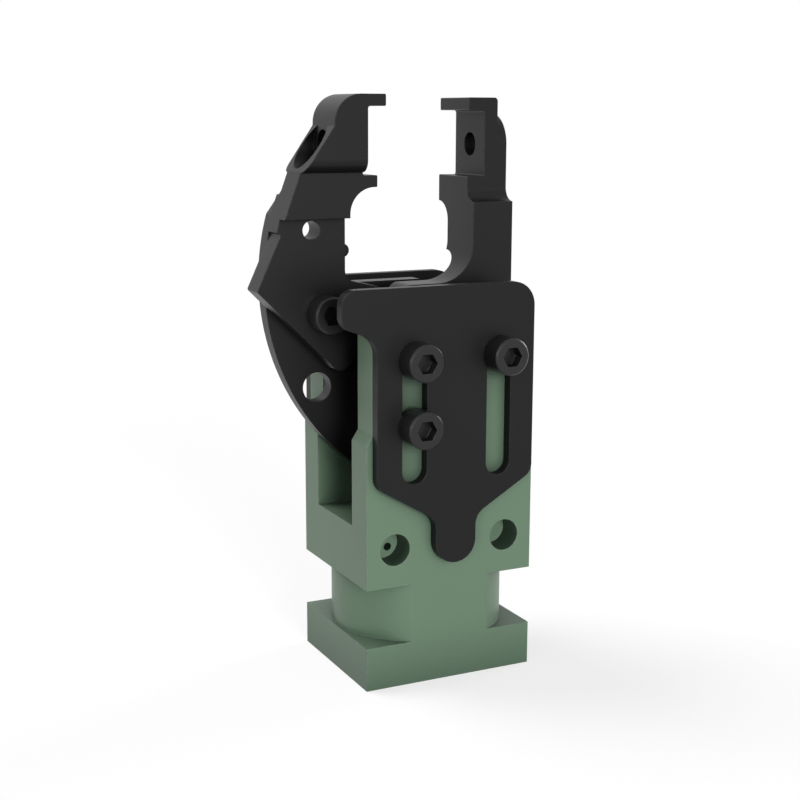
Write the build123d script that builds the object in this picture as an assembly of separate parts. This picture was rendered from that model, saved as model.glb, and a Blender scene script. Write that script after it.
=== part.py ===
from build123d import *
import os
from math import cos, radians, sin, sqrt

# A spring-closed gripper for bottle necks. Millimetres, Z up, the origin at the centre of the
# foot's underside. X runs across the front, from the moving jaw to the fixed jaw. The front
# faces -Y. The two jaws cross between the cheeks of the body and share one pivot pin.

# Body
body_width = 50.0
body_depth = 42.0
foot_height = 12.0
neck_height = 16.2
neck_diameter = 48.0
floor_height = 15.8
slot_depth = 59.0
slot_width = 23.5
cheek_inset = 1.8
cheek_step_height = 39.4
cheek_step_rise = 2.8
cheek_corner = 3.0

# Round pockets in the front and rear faces
pocket_diameter = 8.7
pocket_depth = 7.8
pocket_spacing = 33.2
pocket_height = 10.4
vent_diameter = 2.2
vent_depth = 5.0
vent_offset = 1.4

# Foot thread
foot_thread_diameter = 10.0
foot_insert_diameter = 14.0
foot_insert_length = 18.0

# Pivot and stop
pivot_rise = 54.0
pivot_pin_diameter = 8.0
pin_end_gap = 0.3
press_gap = 0.02
running_gap = 0.04
bush_wall = 1.5
jaw_opening = 18.0
stop_radius = 25.0
stop_pin_diameter = 5.0
stop_gap = 0.3

# Socket head cap screws
screw_diameter = 6.0
screw_head_diameter = 10.0
screw_head_height = 6.6
screw_hex = 5.0
screw_hex_depth = 3.2
screw_edge = 0.4
screw_clearance = 6.6
thread_gap = 0.03
thread_end_gap = 0.5
insert_wall = 1.2
insert_cover = 0.25

# Guide plates
plate_thickness = 3.0
plate_width = 46.4
plate_play = 0.1
plate_top = 9.65
plate_side = 52.4
plate_taper = 10.1
plate_corner = 6.5
plate_side_radius = 4.0
tongue_width = 12.0
tongue_length = 12.6
tongue_fillet = 5.0
ear_reach = 9.9
ear_height = 9.5
ear_root_drop = 3.7
ear_low_radius = 3.9
ear_high_radius = 4.0
ear_fillet = 5.8
plate_slot_width = 7.2
plate_slot_spacing = 25.0
plate_slot_length = 37.6
plate_stop_gap = 0.2
front_plate_lift = 1.35
plate_screw_shift = 0.3
plate_screw_drop = 8.0
plate_screw_pitch = 17.5

# What a corner radius keeps short of its full side, so that the round still fits
round_play = 0.01

# Jaw layers across the slot
lever_thickness = 4.6
lever_play = 0.35
lap_thickness = 7.7
fixed_foot_thickness = 8.65
jaw_tip_front = 8.0
spacer_play = 0.1
spacer_diameter = 14.0

# Bores through the jaw tips for gripping pads
fixed_pad_bore = 6.4
finger_pad_bore = 8.0
finger_counterbore = 12.0
pad_hole_height = 46.4

# Fixed jaw, heights from the pivot axis
fixed_tip_height = 58.8
fixed_lip_reach = 11.3
fixed_lip_thickness = 3.35
fixed_recess_height = 17.5
fixed_recess_face = 16.15
fixed_face = 11.0
fixed_tip_back = 20.1
fixed_back = 23.0
fixed_tip_rear = 8.4
throat_floor = 10.0
throat_radius = 10.3
fixed_hub_reach = 10.4
fixed_step_height = 31.3
fixed_mid_rear = 3.1
fixed_mid_height = 25.5
fixed_foot_height = 17.5
fixed_foot_fillet = 6.0
fixed_stem_face = 6.0
fixed_stem_top = 11.0
fixed_stem_low = 22.0
fixed_stem_slant = 6.0
spring_seat_face = 14.0
spring_block_rear = 6.2
spring_block_height = 16.0
dowel_diameter = 5.0
dowel_height = -23.0
dowel_inset = 3.3

# Moving finger, places from the pivot axis
finger_tip_height = 59.55
finger_lip_reach = 13.2
finger_lip_thickness = 3.1
finger_recess_height = 17.85
finger_recess_face = 18.3
finger_low_lip_reach = 14.1
finger_throat_face = 21.9
finger_throat_radius = 7.0
finger_back = 27.7
finger_back_radius = 7.4
finger_back_side = 8.05
finger_waist = (-35.8, 39.8)
finger_notch_top = (-40.4, 27.4)
finger_notch_low = (-41.2, 24.1)
finger_notch_root = (-40.1, 23.3)
finger_elbow = (-46.9, 8.8)
finger_toe = (-23.4, -14.6)
finger_heel = (-9.6, -2.6)
finger_heel_height = 8.0
finger_mid_half = 4.6
finger_mid_height = 39.4
finger_lap_height = 33.6
finger_low_height = 27.5
finger_screw_place = (-28.1, 2.3)
finger_dowel_place = (-31.5, 24.4)
finger_dowel_diameter = 5.0
dowel_window_diameter = 9.5

# Cam lever, places from the pivot axis
rim_radius = 65.2
rim_centre = (23.2, 10.2)
lever_top_edge = 9.2
lever_head = (-39.6, 28.0)
lever_head_top = (-33.0, 37.1)
lever_neck_face = 19.5
lever_hub_reach = 7.6
lever_hub_drop = 10.0
lever_toe = 1.5
lever_toe_slant = (2.0, 6.0)
lever_toe_radius = 1.5
lever_boss_diameter = 15.0
nub_radius = 1.85
nub_place = (-19.2, 18.0)
drive_bore_diameter = 8.3
drive_bore_place = (-27.1, -19.2)

# Closing spring
spring_pin_diameter = 4.0
spring_pin_place = (-9.0, -34.0)
spring_pin_overhang = 6.5
spring_axis = 0.0
spring_diameter = 8.0
spring_wire = 1.0
spring_turns = 7
spring_gap = 0.1
cup_diameter = 9.0
cup_front = 3.0
cup_back = 4.0
spigot_diameter = 5.2
spigot_length = 3.5
preload_diameter = 8.0
preload_hex = 4.0
preload_hex_depth = 4.0

# Places that follow from the sizes above
block_floor = foot_height + neck_height
slot_floor = block_floor + floor_height
cheek_top = slot_floor + slot_depth
pivot_height = slot_floor + pivot_rise
front = -body_depth / 2
slot_front = -slot_width / 2
lever_rear = slot_width / 2 - lever_play
lever_front = lever_rear - lever_thickness
lap_front = lever_front - lap_thickness
foot_rear = slot_front + fixed_foot_thickness
block_base = -(pivot_rise - spring_block_height)
fixed_lip_under = fixed_tip_height - fixed_lip_thickness
fixed_ledge = fixed_lip_under - fixed_recess_height
fixed_tip_centre = (fixed_tip_rear - jaw_tip_front) / 2
fixed_tip_half = (fixed_tip_rear + jaw_tip_front) / 2
finger_lip_under = finger_tip_height - finger_lip_thickness
finger_ledge = finger_lip_under - finger_recess_height
plate_head_seat = front - plate_play - plate_thickness - plate_play
plate_screw_height = pivot_height - plate_screw_drop
low_screw_height = plate_screw_height - plate_screw_pitch
plate_screw_places = [
    (plate_screw_shift - plate_slot_spacing / 2, plate_screw_height),
    (plate_screw_shift - plate_slot_spacing / 2, low_screw_height),
]
fixed_screw_place = (plate_screw_shift + plate_slot_spacing / 2, plate_screw_height)
insert_diameter = screw_diameter + 2 * insert_wall
insert_length = slot_front - front - insert_cover
bush_diameter = pivot_pin_diameter + 2 * bush_wall


def front_view(y):
    """The plane of a front view at depth y, with X to the right and Z up."""
    return Plane(origin=(0, y, 0), x_dir=(1, 0, 0), z_dir=(0, -1, 0))


def slab(face, y_front, y_rear):
    """A flat piece whose front view is the face, between two depths."""
    return extrude(front_view(y_rear) * face, amount=y_rear - y_front)


def rod(diameter, place, y_front, y_rear):
    """A round bar along Y through a place of the front view."""
    return slab(Pos(*place) * Circle(diameter / 2), y_front, y_rear)


def side_view(x, y=0, z=0):
    """The plane of a side view at x, with Y to the right and Z up."""
    return Plane(origin=(x, y, z), x_dir=(0, 1, 0), z_dir=(1, 0, 0))


def cross_rod(diameter, y, z, x_from, x_to):
    """A round bar along X."""
    return extrude(side_view(x_from, y, z) * Circle(diameter / 2), amount=x_to - x_from)


def outline(corners):
    """A closed face through (x, z, corner radius) corners."""
    points = [(x, z) for x, z, radius in corners]
    return make_face(FilletPolyline(*points, radius=[corner[2] for corner in corners], close=True))


def at_pivot(place):
    """A place given from the pivot axis, in the frame of the part."""
    return (place[0], place[1] + pivot_height)


def jaw_bar(corners):
    """A bar along X with the side view (y, height from the pivot, corner radius) of a jaw."""
    return extrude(side_view(-body_width, 0, pivot_height) * outline(corners), amount=2 * body_width)


def mirrored(shape):
    """The same shape on the rear of the part."""
    return mirror(shape, about=Plane.XZ)


def cap_screw(length):
    """A socket head cap screw with its seat at the origin and its head towards +Z."""
    head = Cylinder(screw_head_diameter / 2, screw_head_height, align=(Align.CENTER, Align.CENTER, Align.MIN))
    head = chamfer(head.edges().group_by(Axis.Z)[-1], screw_edge)
    socket = Pos(0, 0, screw_head_height - screw_hex_depth) * extrude(
        RegularPolygon(screw_hex / 2, 6, major_radius=False), amount=screw_hex_depth
    )
    shank = Pos(0, 0, -length) * Cylinder(
        screw_diameter / 2, length, align=(Align.CENTER, Align.CENTER, Align.MIN)
    )
    return head - socket + chamfer(shank.edges().group_by(Axis.Z)[0], 2 * screw_edge)


def front_screw(place, seat, length):
    """A cap screw driven from the front, its seat at depth y = seat."""
    return Plane(origin=(place[0], seat, place[1]), x_dir=(1, 0, 0), z_dir=(0, -1, 0)) * cap_screw(length)


def make_body():
    """Foot, turned neck and block with two cheeks, milled and turned from one bar."""
    block_height = cheek_top - block_floor
    foot = Box(body_width, body_depth, foot_height, align=(Align.CENTER, Align.CENTER, Align.MIN))
    neck = Pos(0, 0, foot_height) * Cylinder(
        neck_diameter / 2, neck_height, align=(Align.CENTER, Align.CENTER, Align.MIN)
    )
    neck &= Pos(0, 0, foot_height) * Box(
        body_width, body_depth, neck_height, align=(Align.CENTER, Align.CENTER, Align.MIN)
    )
    step = block_floor + cheek_step_height
    half = body_width / 2
    block = slab(
        outline([
            (-half, block_floor, 0), (half, block_floor, 0), (half, step, 0),
            (half - cheek_inset, step + cheek_step_rise, 0), (half - cheek_inset, cheek_top, cheek_corner),
            (cheek_inset - half, cheek_top, cheek_corner), (cheek_inset - half, step + cheek_step_rise, 0),
            (-half, step, 0),
        ]),
        front, -front,
    )
    slot = Pos(0, 0, slot_floor) * Box(
        2 * body_width, slot_width, block_height, align=(Align.CENTER, Align.CENTER, Align.MIN)
    )
    body = foot + neck + block - slot
    body -= rod(pivot_pin_diameter + 2 * press_gap, at_pivot((0, 0)), front - 1, 1 - front)
    body -= rod(stop_pin_diameter + 2 * press_gap, at_pivot((0, -stop_radius)), front - 1, 1 - front)
    for place in plate_screw_places:
        hole = rod(insert_diameter, place, front - 1, front + insert_length)
        body -= hole + mirrored(hole)
    body -= rod(screw_clearance, fixed_screw_place, front - 1, slot_front + 1)
    body -= mirrored(rod(insert_diameter, fixed_screw_place, front - 1, front + insert_length))
    body -= rod(dowel_diameter + 2 * press_gap, dowel_place(), front - 1, slot_front + 1)
    for side in (-1, 1):
        centre = (side * pocket_spacing / 2, block_floor + pocket_height)
        pocket = rod(pocket_diameter, centre, front - 1, front + pocket_depth)
        vent_place = (centre[0] - side * vent_offset, centre[1] - vent_offset)
        pocket += rod(vent_diameter, vent_place, front, front + pocket_depth + vent_depth)
        body -= pocket + mirrored(pocket)
    body -= Cylinder(foot_insert_diameter / 2, 2 * foot_insert_length)
    return body


def dowel_place():
    """The dowel that squares the fixed jaw to the front cheek."""
    return at_pivot((fixed_back - dowel_inset, dowel_height))


def make_foot_insert():
    """The threaded bush for the bolt that holds the foot down."""
    sleeve = Cylinder(
        foot_insert_diameter / 2, foot_insert_length, align=(Align.CENTER, Align.CENTER, Align.MIN)
    )
    return sleeve - Cylinder(foot_thread_diameter / 2, 2 * foot_insert_length + 1)


def thread_insert(place):
    """A threaded bush let into the front of a cheek."""
    sleeve = rod(insert_diameter, place, front, front + insert_length)
    return sleeve - rod(screw_diameter + 2 * thread_gap, place, front - 1, front + insert_length + 1)


def make_plate():
    """A guide plate in its lowest place: a waisted sheet with an ear, a tongue and two slots."""
    half = plate_width / 2
    top = pivot_height + plate_top
    side_end = top - plate_side
    root = side_end - plate_taper
    neck = tongue_width / 2
    ear_end = -half - ear_reach
    ear_low = top - ear_height
    face = outline([
        (half, top, plate_corner), (half, side_end, plate_side_radius), (neck, root, tongue_fillet),
        (neck, root - tongue_length, neck - round_play), (-neck, root - tongue_length, neck - round_play),
        (-neck, root, tongue_fillet), (-half, side_end, plate_side_radius),
        (-half, ear_low - ear_root_drop, ear_fillet), (ear_end, ear_low, ear_low_radius),
        (ear_end, top, ear_high_radius),
    ])
    slot_centre = plate_screw_height + plate_stop_gap + (screw_diameter - plate_slot_length) / 2
    for side in (-1, 1):
        face -= Pos(side * plate_slot_spacing / 2, slot_centre) * Rot(0, 0, 90) * SlotOverall(
            plate_slot_length, plate_slot_width
        )
    return slab(face, front - plate_play - plate_thickness, front - plate_play)


def fixed_jaw_outline():
    """The front view of the fixed jaw, from the lips down to the spring block."""
    profile = outline([
        (fixed_lip_reach, fixed_tip_height, 0.4), (fixed_tip_back, fixed_tip_height, 1.0),
        (fixed_tip_back, pad_hole_height, 0), (fixed_back, pad_hole_height, 0),
        (fixed_back, block_base, 1.0), (spring_seat_face, block_base, 1.0),
        (spring_seat_face, -fixed_stem_low - fixed_stem_slant, 3.0),
        (fixed_stem_face, -fixed_stem_low, 4.0), (fixed_stem_face, -fixed_stem_top, 2.0),
        (-fixed_hub_reach, -throat_floor, throat_floor - round_play),
        (-fixed_hub_reach, throat_floor, 3.0), (fixed_face, throat_floor, throat_radius),
        (fixed_face, fixed_ledge, 0.3), (fixed_recess_face, fixed_ledge, 0.5),
        (fixed_recess_face, fixed_lip_under, 0.7), (fixed_lip_reach, fixed_lip_under, 0.4),
    ])
    return Pos(0, pivot_height) * profile


def make_fixed_jaw():
    """The fixed jaw: its front view cut by a side view that steps back from the lips to the foot."""
    top = fixed_tip_height + 1
    base = block_base - 1
    block_top = block_base + spring_block_height
    step = -slot_front - jaw_tip_front
    rear_step = fixed_tip_rear - fixed_mid_rear
    bar = jaw_bar([
        (slot_front, base, 0), (slot_front, fixed_step_height, 0),
        (-jaw_tip_front, fixed_step_height, step - round_play), (-jaw_tip_front, top, 0),
        (fixed_tip_rear, top, 0), (fixed_tip_rear, fixed_mid_height + rear_step, 0),
        (fixed_mid_rear, fixed_mid_height + rear_step, rear_step - round_play),
        (fixed_mid_rear, fixed_foot_height, 0), (foot_rear, fixed_foot_height, fixed_foot_fillet),
        (foot_rear, block_top, 0), (spring_block_rear, block_top, 0), (spring_block_rear, base, 0),
    ])
    jaw = slab(fixed_jaw_outline(), -body_width, body_width) & bar
    hole_height = pivot_height + pad_hole_height
    jaw += cross_rod(2 * fixed_tip_half, fixed_tip_centre, hole_height, fixed_tip_back - 1, fixed_back)
    jaw -= cross_rod(fixed_pad_bore, fixed_tip_centre, hole_height, 0, body_width)
    jaw -= rod(pivot_pin_diameter + 2 * press_gap, at_pivot((0, 0)), -body_width, body_width)
    jaw -= rod(screw_diameter + 2 * thread_gap, fixed_screw_place, -body_width, body_width)
    jaw -= rod(dowel_diameter + 2 * press_gap, dowel_place(), -body_width, body_width)
    spring_height = pivot_height + spring_pin_place[1]
    return jaw - cross_rod(preload_diameter + 2 * thread_gap, spring_axis, spring_height, 0, body_width)


def finger_outline():
    """The front view of the moving finger, with its slanted back and tongue."""
    profile = outline([
        (-finger_lip_reach, finger_tip_height, 0.4), (-finger_lip_reach, finger_lip_under, 0.4),
        (-finger_recess_face, finger_lip_under, 0.7), (-finger_recess_face, finger_ledge, 0.5),
        (-finger_low_lip_reach, finger_ledge, 0.3),
        (-finger_low_lip_reach, finger_ledge - finger_lip_thickness, 0.3),
        (-finger_throat_face, finger_ledge - finger_lip_thickness, finger_throat_radius),
        (-finger_throat_face, finger_heel_height + 3, 3.0), (finger_heel[0], finger_heel_height, 3.0),
        (*finger_heel, 2.0), (*finger_toe, 2.6), (*finger_elbow, 0.8), (*finger_notch_root, 0.4),
        (*finger_notch_low, 0), (*finger_notch_top, 0.3), (*finger_waist, 3.0),
        (-finger_back, finger_tip_height - finger_back_side, 0.8),
        (-finger_back, finger_tip_height, finger_back_radius),
    ])
    return Pos(0, pivot_height) * profile


def make_finger():
    """The moving finger: its front view cut by a side view that laps onto the lever."""
    top = finger_tip_height + 1
    rear_round = lever_front - finger_mid_half - round_play
    front_round = jaw_tip_front - finger_mid_half - round_play
    bar = jaw_bar([
        (-jaw_tip_front, top, 0), (lever_front, top, 0), (lever_front, finger_mid_height, rear_round),
        (finger_mid_half, finger_mid_height, 0), (finger_mid_half, finger_lap_height, 0),
        (lever_front, finger_lap_height, 0), (lever_front, -pivot_rise, 0), (lap_front, -pivot_rise, 0),
        (lap_front, finger_low_height, 0), (-finger_mid_half, finger_low_height, 0),
        (-finger_mid_half, finger_mid_height, 0), (-jaw_tip_front, finger_mid_height, front_round),
    ])
    finger = slab(finger_outline(), -body_width, body_width) & bar
    hole_height = pivot_height + pad_hole_height
    finger -= cross_rod(finger_pad_bore, 0, hole_height, -body_width, 0)
    finger -= cross_rod(finger_counterbore, 0, hole_height, -body_width, -finger_back)
    finger -= rod(screw_clearance, at_pivot(finger_screw_place), -body_width, body_width)
    return finger - rod(finger_dowel_diameter, at_pivot(finger_dowel_place), -body_width, body_width)


def lever_outline():
    """The front view of the cam lever: a round rim, a neck behind the finger and a hub."""
    toe_drop = sqrt(rim_radius ** 2 - (rim_centre[0] - lever_toe) ** 2)
    toe = (lever_toe, rim_centre[1] - toe_drop)
    below = toe[1] - lever_thickness
    frame = outline([
        (*lever_head_top, 1.0), (-lever_neck_face, lever_head_top[1], 3.0),
        (-lever_neck_face, lever_top_edge, 3.0), (lever_hub_reach, lever_top_edge, 4.0),
        (lever_hub_reach, -lever_hub_drop, 6.0),
        (toe[0] + lever_toe_slant[0], toe[1] + lever_toe_slant[1], 0), (toe[0], below, 0),
        (-rim_radius, below, 0), (-rim_radius, lever_head[1], 0), (*lever_head, 0),
    ])
    face = frame & Pos(*rim_centre) * Circle(rim_radius)
    corner = face.vertices().sort_by_distance(Vector(*toe, 0))[0]
    face = fillet(corner, lever_toe_radius)
    face += Pos(*nub_place) * Circle(nub_radius)
    return Pos(0, pivot_height) * face


def stop_window():
    """The curved window in the lever that the stop pin stands in."""
    width = stop_pin_diameter / 2 + stop_gap
    swing = radians(jaw_opening)
    inner = stop_radius - width
    outer = stop_radius + width

    def on_arc(radius, angle):
        return (-radius * sin(angle), -radius * cos(angle))

    with BuildSketch() as window:
        with BuildLine():
            ThreePointArc(on_arc(outer, 0), on_arc(outer, swing / 2), on_arc(outer, swing))
            ThreePointArc(
                on_arc(outer, swing), on_arc(stop_radius, swing + width / stop_radius), on_arc(inner, swing)
            )
            ThreePointArc(on_arc(inner, swing), on_arc(inner, swing / 2), on_arc(inner, 0))
            ThreePointArc(on_arc(inner, 0), on_arc(stop_radius, -width / stop_radius), on_arc(outer, 0))
        make_face()
    return Pos(0, pivot_height) * window.sketch


def make_lever():
    """The cam lever: a thin sector plate with a boss on its front for the pivot bush."""
    lever = slab(lever_outline(), lever_front, lever_rear)
    lever += rod(lever_boss_diameter, at_pivot((0, 0)), lap_front, lever_front)
    bores = [
        (bush_diameter, (0, 0)), (screw_diameter + 2 * thread_gap, finger_screw_place),
        (dowel_window_diameter, finger_dowel_place), (drive_bore_diameter, drive_bore_place),
        (spring_pin_diameter + 2 * press_gap, spring_pin_place),
    ]
    for diameter, place in bores:
        lever -= rod(diameter, at_pivot(place), -body_width, body_width)
    return lever - slab(stop_window(), -body_width, body_width)


def make_bush():
    """The plain bearing in the lever's boss."""
    sleeve = rod(bush_diameter, at_pivot((0, 0)), lap_front, lever_rear)
    bore = rod(pivot_pin_diameter + 2 * running_gap, at_pivot((0, 0)), lap_front - 1, lever_rear + 1)
    return sleeve - bore


def make_spacer():
    """The thrust ring between the fixed foot and the lever's boss."""
    y_front = foot_rear + spacer_play
    y_rear = lap_front - spacer_play
    ring = rod(spacer_diameter, at_pivot((0, 0)), y_front, y_rear)
    return ring - rod(pivot_pin_diameter + 2 * press_gap, at_pivot((0, 0)), y_front - 1, y_rear + 1)


def make_dowel():
    """A dowel from the front cheek into the fixed jaw."""
    return rod(dowel_diameter, dowel_place(), front + pin_end_gap, foot_rear - pin_end_gap)


def make_spring_cup():
    """The cup that the spring pushes on, turned on the lever's spring pin."""
    x, z = at_pivot(spring_pin_place)
    cup = cross_rod(cup_diameter, spring_axis, z, x - cup_front, x + cup_back)
    cup += cross_rod(spigot_diameter, spring_axis, z, x + cup_back, x + cup_back + spigot_length)
    return cup - rod(spring_pin_diameter + 2 * running_gap, (x, z), -body_depth, body_depth)


def make_spring():
    """The closing spring: round wire coiled between the cup and the preload screw."""
    x, z = at_pivot(spring_pin_place)
    start = x + cup_back + spring_gap + spring_wire / 2
    length = spring_seat_face - spring_gap - spring_wire / 2 - start
    coil = Helix(pitch=length / spring_turns, height=length, radius=(spring_diameter - spring_wire) / 2)
    wire = sweep(Plane(coil @ 0, z_dir=coil % 0) * Circle(spring_wire / 2), path=coil)
    return side_view(start, spring_axis, z) * wire


def make_preload_screw():
    """The set screw in the fixed jaw that backs the spring, with a socket at its outer end."""
    z = pivot_height + spring_pin_place[1]
    screw = cross_rod(preload_diameter, spring_axis, z, spring_seat_face, fixed_back)
    screw += cross_rod(spigot_diameter, spring_axis, z, spring_seat_face - spigot_length, spring_seat_face)
    socket = Plane(origin=(fixed_back, spring_axis, z), x_dir=(0, 1, 0), z_dir=(-1, 0, 0))
    return screw - extrude(
        socket * RegularPolygon(preload_hex / 2, 6, major_radius=False), amount=preload_hex_depth
    )


plate_screw_length = front + insert_length - plate_head_seat - thread_end_gap
jaw_screw_length = foot_rear - plate_head_seat - thread_end_gap
finger_screw_length = lever_rear - lap_front - thread_end_gap
left_screws = [front_screw(place, plate_head_seat, plate_screw_length) for place in plate_screw_places]
right_screw = front_screw(fixed_screw_place, plate_head_seat, plate_screw_length)
left_inserts = [thread_insert(place) for place in plate_screw_places]
right_insert = thread_insert(fixed_screw_place)
plate = make_plate()
pin_front = front + pin_end_gap

pieces = {
    "body": make_body(),
    "foot_insert": make_foot_insert(),
    "front_thread_inserts": Compound(children=left_inserts),
    "rear_thread_inserts": Compound(children=[mirrored(insert) for insert in left_inserts + [right_insert]]),
    "front_plate": Pos(0, 0, front_plate_lift) * plate,
    "rear_plate": mirrored(plate),
    "front_plate_screws": Compound(children=left_screws),
    "rear_plate_screws": Compound(children=[mirrored(screw) for screw in left_screws + [right_screw]]),
    "fixed_jaw": make_fixed_jaw(),
    "fixed_jaw_screw": front_screw(fixed_screw_place, plate_head_seat, jaw_screw_length),
    "fixed_jaw_dowel": make_dowel(),
    "pivot_pin": rod(pivot_pin_diameter, at_pivot((0, 0)), pin_front, -pin_front),
    "stop_pin": rod(stop_pin_diameter, at_pivot((0, -stop_radius)), pin_front, -pin_front),
    "pivot_spacer": make_spacer(),
    "moving_finger": make_finger(),
    "cam_lever": make_lever(),
    "lever_bush": make_bush(),
    "finger_screw": front_screw(at_pivot(finger_screw_place), lap_front, finger_screw_length),
    "spring_pin": rod(spring_pin_diameter, at_pivot(spring_pin_place), -spring_pin_overhang, lever_rear),
    "spring_cup": make_spring_cup(),
    "closing_spring": make_spring(),
    "preload_screw": make_preload_screw(),
}

os.makedirs("parts", exist_ok=True)
for name, piece in pieces.items():
    export_step(piece, f"parts/{name}.step")
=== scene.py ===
from math import cos, pi, radians, sin
import bpy
from mathutils import Euler, Matrix, Vector


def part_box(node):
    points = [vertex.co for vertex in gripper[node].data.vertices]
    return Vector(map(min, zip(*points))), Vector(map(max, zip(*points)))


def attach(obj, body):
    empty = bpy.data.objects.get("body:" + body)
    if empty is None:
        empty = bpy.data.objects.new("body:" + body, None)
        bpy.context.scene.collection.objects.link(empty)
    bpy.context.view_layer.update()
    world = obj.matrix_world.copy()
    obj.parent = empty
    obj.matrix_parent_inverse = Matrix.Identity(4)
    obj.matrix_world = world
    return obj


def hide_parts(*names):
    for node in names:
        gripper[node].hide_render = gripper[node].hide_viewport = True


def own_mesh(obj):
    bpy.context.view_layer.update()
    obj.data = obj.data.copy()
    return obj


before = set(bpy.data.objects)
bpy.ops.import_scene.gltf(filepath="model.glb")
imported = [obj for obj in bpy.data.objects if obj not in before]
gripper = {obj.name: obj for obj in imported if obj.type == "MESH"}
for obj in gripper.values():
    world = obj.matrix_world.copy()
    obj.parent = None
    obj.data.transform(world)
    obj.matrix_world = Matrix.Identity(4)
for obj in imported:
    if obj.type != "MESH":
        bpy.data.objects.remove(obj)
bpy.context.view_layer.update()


# Green body
# One block of glass-filled plastic, turned at the neck and milled everywhere else, left satin.
# It stands on its foot, and everything black is screwed or pinned to it.
millimetre = 0.001
body_green = (0.112, 0.176, 0.117, 1)
body_green_rubbed = (0.150, 0.215, 0.156, 1)
# Painted shade: the colour that the hollows of the body are darkened towards.
body_green_painted_shade = (0.017, 0.031, 0.020, 1)
body_edge_round = 0.35 * millimetre
pocket_floor = 13.2 * millimetre
floor_play = 0.1 * millimetre
square_face = 0.98
# How far and how strongly painted shade darkens the hollows, from ambient occlusion.
painted_shade_reach = 28.0 * millimetre
painted_shade_closed, painted_shade_open = 0.22, 0.82
painted_shade_full = 0.92
shade_samples = 8
edge_sharp, edge_flat = 0.55, 0.95
rubbed_from, rubbed_to = 0.42, 0.62
edge_samples = 6
noise_middle = 0.5
grain_strength = 0.35


def shader_group(name, inputs, outputs):
    """An empty node group with named number inputs and typed outputs."""
    group = bpy.data.node_groups.new(name, "ShaderNodeTree")
    for label, default in inputs:
        socket = group.interface.new_socket(label, in_out="INPUT", socket_type="NodeSocketFloat")
        socket.default_value = default
    for label, kind in outputs:
        group.interface.new_socket(label, in_out="OUTPUT", socket_type=kind)
    return group, group.nodes.new("NodeGroupInput"), group.nodes.new("NodeGroupOutput")


def noise_texture(tree, coordinates, scale, detail):
    """A noise in the gripper's own metres, at a scale that comes from another node."""
    noise = tree.nodes.new("ShaderNodeTexNoise")
    noise.inputs["Detail"].default_value = detail
    tree.links.new(coordinates, noise.inputs["Vector"])
    tree.links.new(scale, noise.inputs["Scale"])
    return noise.outputs["Fac"]


def reach(tree, value, from_low, from_high, to_low, to_high):
    """A value moved from one range to another and kept inside it."""
    mapping = tree.nodes.new("ShaderNodeMapRange")
    for label, number in zip(("From Min", "From Max", "To Min", "To Max"),
                             (from_low, from_high, to_low, to_high)):
        mapping.inputs[label].default_value = number
    tree.links.new(value, mapping.inputs["Value"])
    return mapping.outputs["Result"]


def worked_out(tree, operation, *terms):
    """One step of arithmetic on numbers that come from other nodes or are given."""
    sum_node = tree.nodes.new("ShaderNodeMath")
    sum_node.operation = operation
    for socket, term in zip(sum_node.inputs, terms):
        if isinstance(term, bpy.types.NodeSocket):
            tree.links.new(term, socket)
        else:
            socket.default_value = term
    return sum_node.outputs["Value"]


def make_edge_wear():
    """Outer edges as a mask, broken up as handling rubs them."""
    group, given, result = shader_group(
        "edge wear", [("Width", 0.4 * millimetre), ("Breakup", 900.0)],
        [("Mask", "NodeSocketFloat")])
    inside = group.nodes.new("ShaderNodeAmbientOcclusion")
    inside.inside = True
    inside.only_local = True
    inside.samples = edge_samples
    group.links.new(given.outputs["Width"], inside.inputs["Distance"])
    place = group.nodes.new("ShaderNodeTexCoord")
    noise = noise_texture(group, place.outputs["Object"], given.outputs["Breakup"], detail=4.0)
    edge = reach(group, inside.outputs["AO"], edge_sharp, edge_flat, 1.0, 0.0)
    patches = reach(group, noise, rubbed_from, rubbed_to, 0.0, 1.0)
    group.links.new(worked_out(group, "MULTIPLY", edge, patches), result.inputs["Mask"])
    return group


def make_satin_grain():
    """Fine blasted grain: a height for the bump, and a roughness that drifts in slow clouds."""
    group, given, result = shader_group(
        "satin grain",
        [("Grain", 5000.0), ("Clouds", 45.0), ("Roughness", 0.4), ("Spread", 0.05)],
        [("Height", "NodeSocketFloat"), ("Roughness", "NodeSocketFloat")])
    place = group.nodes.new("ShaderNodeTexCoord")
    fine = noise_texture(group, place.outputs["Object"], given.outputs["Grain"], detail=3.0)
    slow = noise_texture(group, place.outputs["Object"], given.outputs["Clouds"], detail=2.0)
    centred = worked_out(group, "SUBTRACT", slow, noise_middle)
    varied = worked_out(
        group, "MULTIPLY_ADD", centred, given.outputs["Spread"], given.outputs["Roughness"])
    group.links.new(fine, result.inputs["Height"])
    group.links.new(varied, result.inputs["Roughness"])
    return group


def make_soft_edges():
    """The surface's normal, rounded over at the edges."""
    group, given, result = shader_group(
        "soft edges", [("Round", 0.3 * millimetre)], [("Normal", "NodeSocketVector")])
    bevel = group.nodes.new("ShaderNodeBevel")
    bevel.samples = edge_samples
    group.links.new(given.outputs["Round"], bevel.inputs["Radius"])
    group.links.new(bevel.outputs["Normal"], result.inputs["Normal"])
    return group


def make_painted_shade_mask():
    """Painted shade: how closed in a place is, from ambient occlusion; high in deep corners and
    pockets, 0 on open faces.
    """
    group, given, result = shader_group(
        "painted corner shade", [("Reach", 10.0 * millimetre)], [("Mask", "NodeSocketFloat")])
    outside = group.nodes.new("ShaderNodeAmbientOcclusion")
    outside.samples = shade_samples
    group.links.new(given.outputs["Reach"], outside.inputs["Distance"])
    closed = reach(group, outside.outputs["AO"], painted_shade_closed, painted_shade_open, painted_shade_full, 0.0)
    group.links.new(closed, result.inputs["Mask"])
    return group


edge_wear = make_edge_wear()
satin_grain = make_satin_grain()
soft_edges = make_soft_edges()
painted_corner_shade = make_painted_shade_mask()


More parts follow.
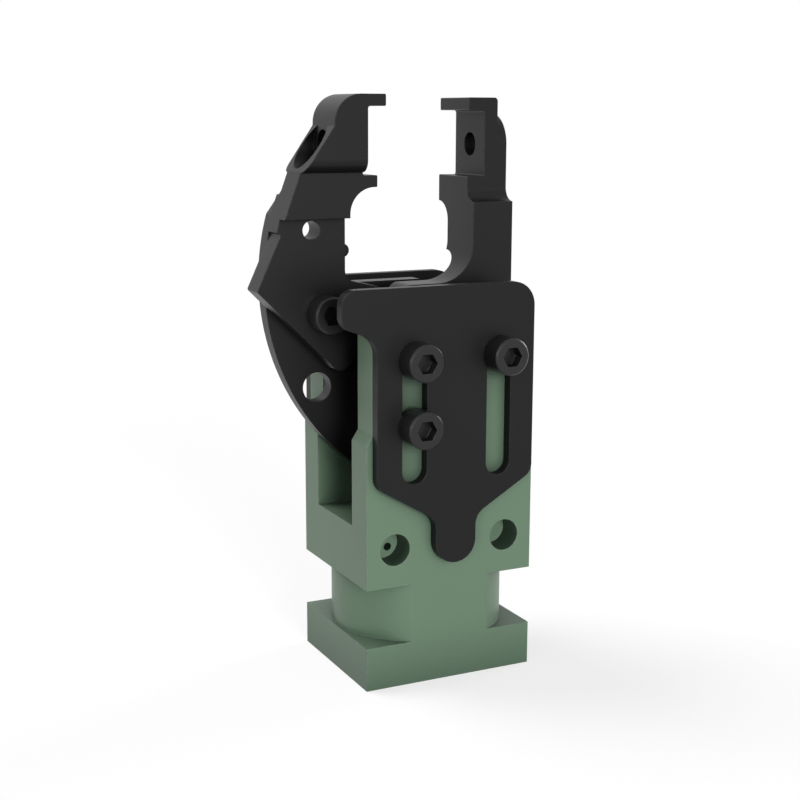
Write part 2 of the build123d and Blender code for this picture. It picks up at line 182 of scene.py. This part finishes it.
def place_group(tree, group, **values):
    """A node group placed in a material with its own values."""
    node = tree.nodes.new("ShaderNodeGroup")
    node.node_tree = group
    for label, number in values.items():
        node.inputs[label].default_value = number
    return node


def mixed_colour(tree, amount, plain, other):
    """Two colours mixed by a mask; the first may come from another node."""
    mix = tree.nodes.new("ShaderNodeMix")
    mix.data_type = "RGBA"
    sockets = {socket.identifier: socket for socket in mix.inputs}
    if isinstance(plain, bpy.types.NodeSocket):
        tree.links.new(plain, sockets["A_Color"])
    else:
        sockets["A_Color"].default_value = plain
    sockets["B_Color"].default_value = other
    tree.links.new(amount, mix.inputs["Factor"])
    return next(socket for socket in mix.outputs if socket.identifier == "Result_Color")


def shade_kept_off(tree, mask, depth):
    """The painted shade's mask, taken off the pockets' milled floors, which are square to the front and
    at one depth.
    """
    place = tree.nodes.new("ShaderNodeTexCoord")
    point = tree.nodes.new("ShaderNodeSeparateXYZ")
    facing = tree.nodes.new("ShaderNodeSeparateXYZ")
    tree.links.new(place.outputs["Object"], point.inputs["Vector"])
    tree.links.new(place.outputs["Normal"], facing.inputs["Vector"])
    off_middle = worked_out(tree, "ABSOLUTE", point.outputs["Y"])
    off_floor = worked_out(tree, "ABSOLUTE", worked_out(tree, "SUBTRACT", off_middle, depth))
    near = worked_out(tree, "LESS_THAN", off_floor, floor_play)
    turned = worked_out(tree, "ABSOLUTE", facing.outputs["Y"])
    square = worked_out(tree, "GREATER_THAN", turned, square_face)
    floor = worked_out(tree, "MULTIPLY", near, square)
    return worked_out(tree, "MULTIPLY", mask, worked_out(tree, "SUBTRACT", 1.0, floor))


def satin_finish(name, colour, rubbed, roughness, spread, grain, grain_depth, edge_round, wear_width,
                 metallic=0.0, specular=0.5, painted_shade_colour=None, unshaded_depth=None):
    """A satin surface with fine grain, rounded edges, rubbed corners and painted shade that darkens its
    hollows.
    """
    finish = bpy.data.materials.new(name)
    finish.use_nodes = True
    tree = finish.node_tree
    shader = tree.nodes["Principled BSDF"]
    shader.inputs["Metallic"].default_value = metallic
    shader.inputs["Specular IOR Level"].default_value = specular
    surface = place_group(tree, satin_grain, Grain=grain, Roughness=roughness, Spread=spread)
    edges = place_group(tree, soft_edges, Round=edge_round)
    wear = place_group(tree, edge_wear, Width=wear_width)
    surface_colour = mixed_colour(tree, wear.outputs["Mask"], colour, rubbed)
    # Painted shade: the colour is darkened in corners and pockets, where shade falls.
    if painted_shade_colour:
        shade = place_group(tree, painted_corner_shade, Reach=painted_shade_reach).outputs["Mask"]
        if unshaded_depth:
            shade = shade_kept_off(tree, shade, unshaded_depth)
        surface_colour = mixed_colour(tree, shade, surface_colour, painted_shade_colour)
    tree.links.new(surface_colour, shader.inputs["Base Color"])
    tree.links.new(surface.outputs["Roughness"], shader.inputs["Roughness"])
    bump = tree.nodes.new("ShaderNodeBump")
    bump.inputs["Strength"].default_value = grain_strength
    bump.inputs["Distance"].default_value = grain_depth
    tree.links.new(surface.outputs["Height"], bump.inputs["Height"])
    tree.links.new(edges.outputs["Normal"], bump.inputs["Normal"])
    tree.links.new(bump.outputs["Normal"], shader.inputs["Normal"])
    return finish


def finish_nodes(finish, *names):
    """Puts one finish on CAD nodes."""
    for name in names:
        for slot in gripper[name].material_slots:
            slot.material = finish


# The body's hollows get painted shade, but not the pockets' milled floors.
body_finish = satin_finish(
    "body green satin", body_green, body_green_rubbed, roughness=0.42, spread=0.10, grain=4200.0,
    grain_depth=0.02 * millimetre, edge_round=body_edge_round, wear_width=0.5 * millimetre,
    specular=0.26, painted_shade_colour=body_green_painted_shade, unshaded_depth=pocket_floor)
finish_nodes(body_finish, "body")


# Guide plates
# Two sheets of stiff black plastic, cut and deburred, that slide under the screw heads.
# Their faces are even and satin, a little rubbed along the outline.
plate_black = (0.0060, 0.0060, 0.0062, 1)
plate_rubbed = (0.022, 0.022, 0.0225, 1)
# Painted shade: the colour that the hollows of the black parts are darkened towards.
black_painted_shade = (0.0015, 0.0015, 0.0016, 1)
plate_finish = satin_finish(
    "plate black satin", plate_black, plate_rubbed, roughness=0.42, spread=0.10, grain=5200.0,
    grain_depth=0.012 * millimetre, edge_round=0.3 * millimetre, wear_width=0.35 * millimetre,
    specular=0.17, painted_shade_colour=black_painted_shade)
finish_nodes(plate_finish, "front_plate", "rear_plate")


# Jaws and cam lever
# The two jaws and the thin lever are milled from black glass-filled plastic, smooth to the touch.
# Their edges are rubbed a little lighter by use.
jaw_black = (0.0055, 0.0055, 0.0056, 1)
jaw_rubbed = (0.020, 0.020, 0.0195, 1)
jaw_finish = satin_finish(
    "jaw black satin", jaw_black, jaw_rubbed, roughness=0.38, spread=0.10, grain=4800.0,
    grain_depth=0.012 * millimetre, edge_round=0.3 * millimetre, wear_width=0.3 * millimetre,
    specular=0.19, painted_shade_colour=black_painted_shade)
finish_nodes(jaw_finish, "fixed_jaw", "moving_finger", "cam_lever")


# Cap screws
# Bought screws of blackened steel with sockets for a hexagon key, and the spring's set screw.
# Their heads are turned, so they catch a little more light than the plates.
screw_black = (0.0145, 0.0145, 0.0150, 1)
screw_rubbed = (0.027, 0.027, 0.027, 1)
screw_finish = satin_finish(
    "screw black", screw_black, screw_rubbed, roughness=0.32, spread=0.08, grain=6500.0,
    grain_depth=0.008 * millimetre, edge_round=0.2 * millimetre, wear_width=0.3 * millimetre,
    specular=0.24, painted_shade_colour=black_painted_shade)
finish_nodes(screw_finish, "front_plate_screws", "rear_plate_screws", "fixed_jaw_screw", "finger_screw",
             "preload_screw")


# Pins and spacer
# Ground steel. The pivot and stop pins are pressed through both cheeks, the spring pin into the
# lever, and the dowel into the front cheek and the fixed jaw. A thrust ring sits on the pivot pin.
pin_steel = (0.42, 0.42, 0.43, 1)
pin_rubbed = (0.58, 0.58, 0.58, 1)
pin_finish = satin_finish(
    "ground steel", pin_steel, pin_rubbed, roughness=0.27, spread=0.12, grain=7000.0,
    grain_depth=0.006 * millimetre, edge_round=0.25 * millimetre, wear_width=0.3 * millimetre,
    metallic=1.0)
finish_nodes(pin_finish, "pivot_pin", "stop_pin", "spring_pin", "pivot_spacer", "fixed_jaw_dowel")


# Bushes
# Turned brass: the threaded bushes moulded into the plastic body and the lever's plain bearing.
# The bushes behind the plates are blackened, so that nothing shines through the slots.
bush_brass = (0.60, 0.43, 0.19, 1)
bush_bright = (0.74, 0.58, 0.30, 1)
bush_finish = satin_finish(
    "turned brass", bush_brass, bush_bright, roughness=0.33, spread=0.14, grain=5500.0,
    grain_depth=0.01 * millimetre, edge_round=0.25 * millimetre, wear_width=0.3 * millimetre,
    metallic=1.0)
finish_nodes(bush_finish, "foot_insert", "lever_bush")

bush_dark = (0.030, 0.033, 0.029, 1)
bush_dark_rubbed = (0.075, 0.066, 0.045, 1)
dark_bush_finish = satin_finish(
    "blackened brass", bush_dark, bush_dark_rubbed, roughness=0.45, spread=0.12, grain=5500.0,
    grain_depth=0.01 * millimetre, edge_round=0.2 * millimetre, wear_width=0.2 * millimetre,
    painted_shade_colour=black_painted_shade)
finish_nodes(dark_bush_finish, "front_thread_inserts", "rear_thread_inserts")


# Closing spring
# Drawn wire, oiled and dark, coiled between the swivelling cup and the set screw. The cup's end
# follows the spring pin on its arc as the jaw opens, and the wire is a little thinner than the
# solid's, so that it clears the cup's spigot there.
spring_turns = 7
wire_round = 16
steps_a_turn = 40
wire_radius = 0.44 * millimetre
spring_low, spring_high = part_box("closing_spring")
coil_radius = (spring_high.y - spring_low.y) / 2 - wire_radius
spring_middle = (spring_low + spring_high) / 2
spring_run = spring_high.x - spring_low.x - 2 * wire_radius


def coil_wire(name):
    """Round wire along a helix, as a mesh of rings closed at both ends."""
    rings = []
    count = spring_turns * steps_a_turn
    slope = spring_run / (2 * pi * coil_radius * spring_turns)
    for step in range(count + 1):
        turn = 2 * pi * step / steps_a_turn
        outward = Vector((0, cos(turn), sin(turn)))
        along = Vector((slope, -sin(turn), cos(turn))).normalized()
        across = along.cross(outward)
        centre = Vector((spring_low.x + wire_radius + spring_run * step / count, spring_middle.y,
                         spring_middle.z)) + coil_radius * outward
        rings.append([centre + wire_radius * (cos(angle) * outward + sin(angle) * across)
                      for angle in (2 * pi * k / wire_round for k in range(wire_round))])
    points = [tuple(point) for ring in rings for point in ring]
    faces = [(r * wire_round + k, r * wire_round + (k + 1) % wire_round,
              (r + 1) * wire_round + (k + 1) % wire_round, (r + 1) * wire_round + k)
             for r in range(count) for k in range(wire_round)]
    faces.append(tuple(reversed(range(wire_round))))
    faces.append(tuple(range(count * wire_round, (count + 1) * wire_round)))
    mesh = bpy.data.meshes.new(name)
    mesh.from_pydata(points, [], faces)
    mesh.shade_smooth()
    piece = bpy.data.objects.new(name, mesh)
    bpy.context.scene.collection.objects.link(piece)
    return piece


wire_steel = (0.26, 0.26, 0.27, 1)
wire_rubbed = (0.40, 0.40, 0.40, 1)
wire_finish = satin_finish(
    "oiled spring wire", wire_steel, wire_rubbed, roughness=0.30, spread=0.16, grain=6000.0,
    grain_depth=0.006 * millimetre, edge_round=0.1 * millimetre, wear_width=0.2 * millimetre,
    metallic=1.0)
finish_nodes(wire_finish, "spring_cup")

spring_coil = coil_wire("spring_coil")
spring_coil.data.materials.append(wire_finish)
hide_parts("closing_spring")
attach(spring_coil, "frame")

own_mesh(spring_coil)


# Studio
# A white table that runs out to a white surround, so that only a faint shadow shows, and four
# soft lights: front, low left, right, and one from the back left that throws the shadow.
table_half = 6.0
table_white = (0.36, 0.36, 0.36, 1)
table_glow = 0.66
surround_light = 0.29
table_mesh = bpy.data.meshes.new("table")
table_mesh.from_pydata(
    [(-table_half, -table_half, 0), (table_half, -table_half, 0), (table_half, table_half, 0),
     (-table_half, table_half, 0)], [], [(0, 1, 2, 3)])
table = bpy.data.objects.new("table", table_mesh)
bpy.context.scene.collection.objects.link(table)


def white_where_seen(tree, unseen, seen):
    """One level where light falls, another where the camera, a gloss or a glass sees it."""
    rays = tree.nodes.new("ShaderNodeLightPath")
    gloss = worked_out(tree, "MAXIMUM", rays.outputs["Is Camera Ray"], rays.outputs["Is Glossy Ray"])
    any_sight = worked_out(tree, "MAXIMUM", gloss, rays.outputs["Is Transmission Ray"])
    return reach(tree, any_sight, 0.0, 1.0, unseen, seen)


table_finish = bpy.data.materials.new("table white")
table_finish.use_nodes = True
tree = table_finish.node_tree
tree.nodes.remove(tree.nodes["Principled BSDF"])
matt = tree.nodes.new("ShaderNodeBsdfDiffuse")
matt.inputs["Color"].default_value = table_white
glow = tree.nodes.new("ShaderNodeEmission")
tree.links.new(white_where_seen(tree, 0.0, table_glow), glow.inputs["Strength"])
both = tree.nodes.new("ShaderNodeAddShader")
tree.links.new(matt.outputs["BSDF"], both.inputs[0])
tree.links.new(glow.outputs["Emission"], both.inputs[1])
tree.links.new(both.outputs["Shader"], tree.nodes["Material Output"].inputs["Surface"])
table_mesh.materials.append(table_finish)

surround = bpy.data.worlds.new("white surround")
surround.use_nodes = True
sky = surround.node_tree.nodes["Background"]
sky.inputs["Color"].default_value = (1, 1, 1, 1)
seen_white = white_where_seen(surround.node_tree, surround_light, 1.0)
surround.node_tree.links.new(seen_white, sky.inputs["Strength"])
bpy.context.scene.world = surround


def wide_light(name, from_left, height, spread, strength):
    """Even light from far away: degrees left of the front, degrees up, and degrees across."""
    lamp = bpy.data.lights.new(name, "SUN")
    lamp.angle = radians(spread)
    lamp.energy = strength
    holder = bpy.data.objects.new(name, lamp)
    holder.rotation_euler = (radians(90 - height), 0, -radians(from_left))
    bpy.context.scene.collection.objects.link(holder)


wide_light("front light", from_left=6, height=10, spread=22, strength=2.65)
wide_light("low left light", from_left=50, height=9, spread=20, strength=0.55)
wide_light("right light", from_left=-102, height=14, spread=24, strength=1.1)
wide_light("back left light", from_left=137, height=54, spread=34, strength=1.75)


# Camera
# A long lens a little above the jaws, to the left of the front face, as in the photograph.
# Its place was fitted to the straight edges of the body.
camera_place = Vector((-175.1, -349.1, 152.7)) * millimetre
camera_turn = radians(25.97)
camera_dip = radians(11.38)
camera_roll = radians(0.15)
camera_sensor = 36.0
camera_lens = 64.2
camera = bpy.data.objects.new("camera", bpy.data.cameras.new("camera"))
camera.data.sensor_width = camera_sensor
camera.data.lens = camera_lens
facing = Euler((radians(90) - camera_dip, 0, -camera_turn)).to_matrix()
facing = facing @ Matrix.Rotation(camera_roll, 3, "Z")
camera.matrix_world = Matrix.Translation(camera_place) @ facing.to_4x4()
bpy.context.scene.collection.objects.link(camera)
bpy.context.scene.camera = camera
bpy.context.scene.view_settings.view_transform = "Standard"
